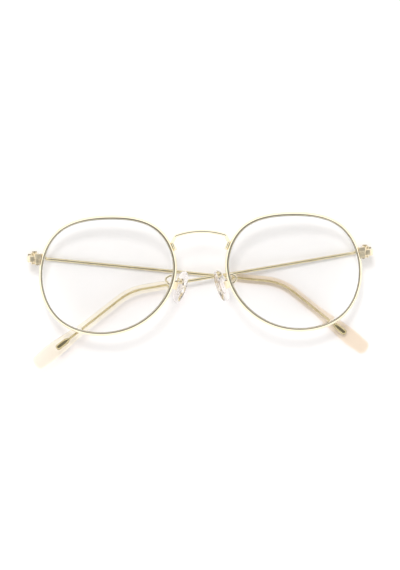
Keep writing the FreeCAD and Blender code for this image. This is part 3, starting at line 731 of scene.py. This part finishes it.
def makeHardware(node):
    look = hardwareLook
    shape = bmesh.new()
    shape.from_mesh(nodes[node].data)
    bmesh.ops.remove_doubles(shape, verts=shape.verts, dist=look["mergeWithin"])
    bmesh.ops.dissolve_limit(
        shape, angle_limit=radians(look["flatWithin"]), verts=shape.verts, edges=shape.edges, delimit=set()
    )
    joined = [edge for edge in shape.edges if len(edge.link_faces) == 2]
    sharp = [edge for edge in joined if edge.calc_face_angle() > radians(look["sharpOver"])]
    bmesh.ops.bevel(
        shape, geom=sharp, offset=look["edge"], offset_type="OFFSET", affect="EDGES", segments=2, profile=0.5,
        material=-1, clamp_overlap=True,
    )
    finish = satinPlate if slotOf[node] == "plated_metal" else None
    finishPiece(shape, f"fine_{node}", node, inMetres=True, finish=finish)


hardwareNames = ("lock_", "front_hinge", "hinge_screw", "temple_hinge", "pad_box")
for node in sorted(node for node in nodes if node.startswith(hardwareNames)):
    makeHardware(node)
print("hardware made")


# CAD nodes that stay get their slot's material

for node in slotOf:
    nodes[node].data.materials.clear()
    nodes[node].data.materials.append(materials[slotOf[node]])


# Stage, light and camera

stageLook = {"floorColour": (0.90, 0.885, 0.885), "floorSize": 4.0, "floorBelow": 0.00002}
lightLook = {
    "dome": 1.26, "domeColour": (1, 0.995, 0.985), "overhead": 0.20, "overheadAngle": 25, "softEdge": 14,
    "key": 4.3, "keySize": 0.30, "keyPlace": (-0.10, 0.52, 0.95),
}
cameraLook = {
    "aim": (-0.00045, 0.00212, 0.012), "pitch": 4.7, "yaw": -1.17, "roll": 1.08, "distance": 0.60,
    "viewHeight": 0.227909, "sensor": 36.0,
}


def makeFloor():
    mesh = bpy.data.meshes.new("floor")
    shape = bmesh.new()
    bmesh.ops.create_grid(shape, x_segments=1, y_segments=1, size=stageLook["floorSize"] / 2)
    shape.to_mesh(mesh)
    shape.free()
    floor = bpy.data.objects.new("floor", mesh)
    scene.collection.objects.link(floor)
    floor.location = (0, 0, -stageLook["floorBelow"])
    material, nodeTree, shader = newMaterial("paleFloor")
    shader.inputs["Base Color"].default_value = (*stageLook["floorColour"], 1)
    shader.inputs["Roughness"].default_value = 0.8
    shader.inputs["Specular IOR Level"].default_value = 0.2
    mesh.materials.append(material)


def makeLight():
    # a white dome with a grey patch overhead, and one large soft light from the rims' top side
    world = bpy.data.worlds.new("studio")
    world.use_nodes = True
    scene.world = world
    nodeTree = world.node_tree
    background = nodeTree.nodes["Background"]
    coordinates = nodeTree.nodes.new("ShaderNodeTexCoord")
    parts = nodeTree.nodes.new("ShaderNodeSeparateXYZ")
    nodeTree.links.new(coordinates.outputs["Generated"], parts.inputs["Vector"])
    inner = cos(radians(lightLook["overheadAngle"]))
    outer = cos(radians(lightLook["overheadAngle"] + lightLook["softEdge"]))
    ramp = nodeTree.nodes.new("ShaderNodeMapRange")
    ramp.inputs["From Min"].default_value = outer
    ramp.inputs["From Max"].default_value = inner
    ramp.inputs["To Min"].default_value = lightLook["dome"]
    ramp.inputs["To Max"].default_value = lightLook["overhead"]
    nodeTree.links.new(parts.outputs["Z"], ramp.inputs["Value"])
    nodeTree.links.new(ramp.outputs["Result"], background.inputs["Strength"])
    background.inputs["Color"].default_value = (*lightLook["domeColour"], 1)
    lamp = bpy.data.lights.new("softKey", "AREA")
    lamp.shape = "DISK"
    lamp.size = lightLook["keySize"]
    lamp.energy = lightLook["key"]
    key = bpy.data.objects.new("softKey", lamp)
    key.location = lightLook["keyPlace"]
    key.rotation_euler = (Vector((0, 0, 0)) - key.location).to_track_quat("-Z", "Y").to_euler()
    key.visible_glossy = False
    key.visible_transmission = False
    scene.collection.objects.link(key)
    scene.view_settings.view_transform = "Standard"


def makeCamera():
    lens = bpy.data.cameras.new("camera")
    camera = bpy.data.objects.new("camera", lens)
    scene.collection.objects.link(camera)
    pitch, yaw = radians(cameraLook["pitch"]), radians(cameraLook["yaw"])
    away = Vector((sin(yaw) * cos(pitch), sin(pitch), cos(yaw) * cos(pitch))).normalized()
    upward = (Vector((0, 1, 0)) - away * away.y).normalized()
    upward = Matrix.Rotation(-radians(cameraLook["roll"]), 3, away) @ upward
    sideways = upward.cross(away)
    turn = Matrix((sideways, upward, away)).transposed().to_4x4()
    camera.matrix_world = Matrix.Translation(Vector(cameraLook["aim"]) + away * cameraLook["distance"]) @ turn
    lens.sensor_width = cameraLook["sensor"]
    lens.lens = cameraLook["distance"] * lens.sensor_width / cameraLook["viewHeight"]
    lens.clip_start = 0.01
    lens.clip_end = 20
    lens.dof.use_dof = False
    scene.camera = camera


makeFloor()
makeLight()
makeCamera()
print("stage, light and camera made")
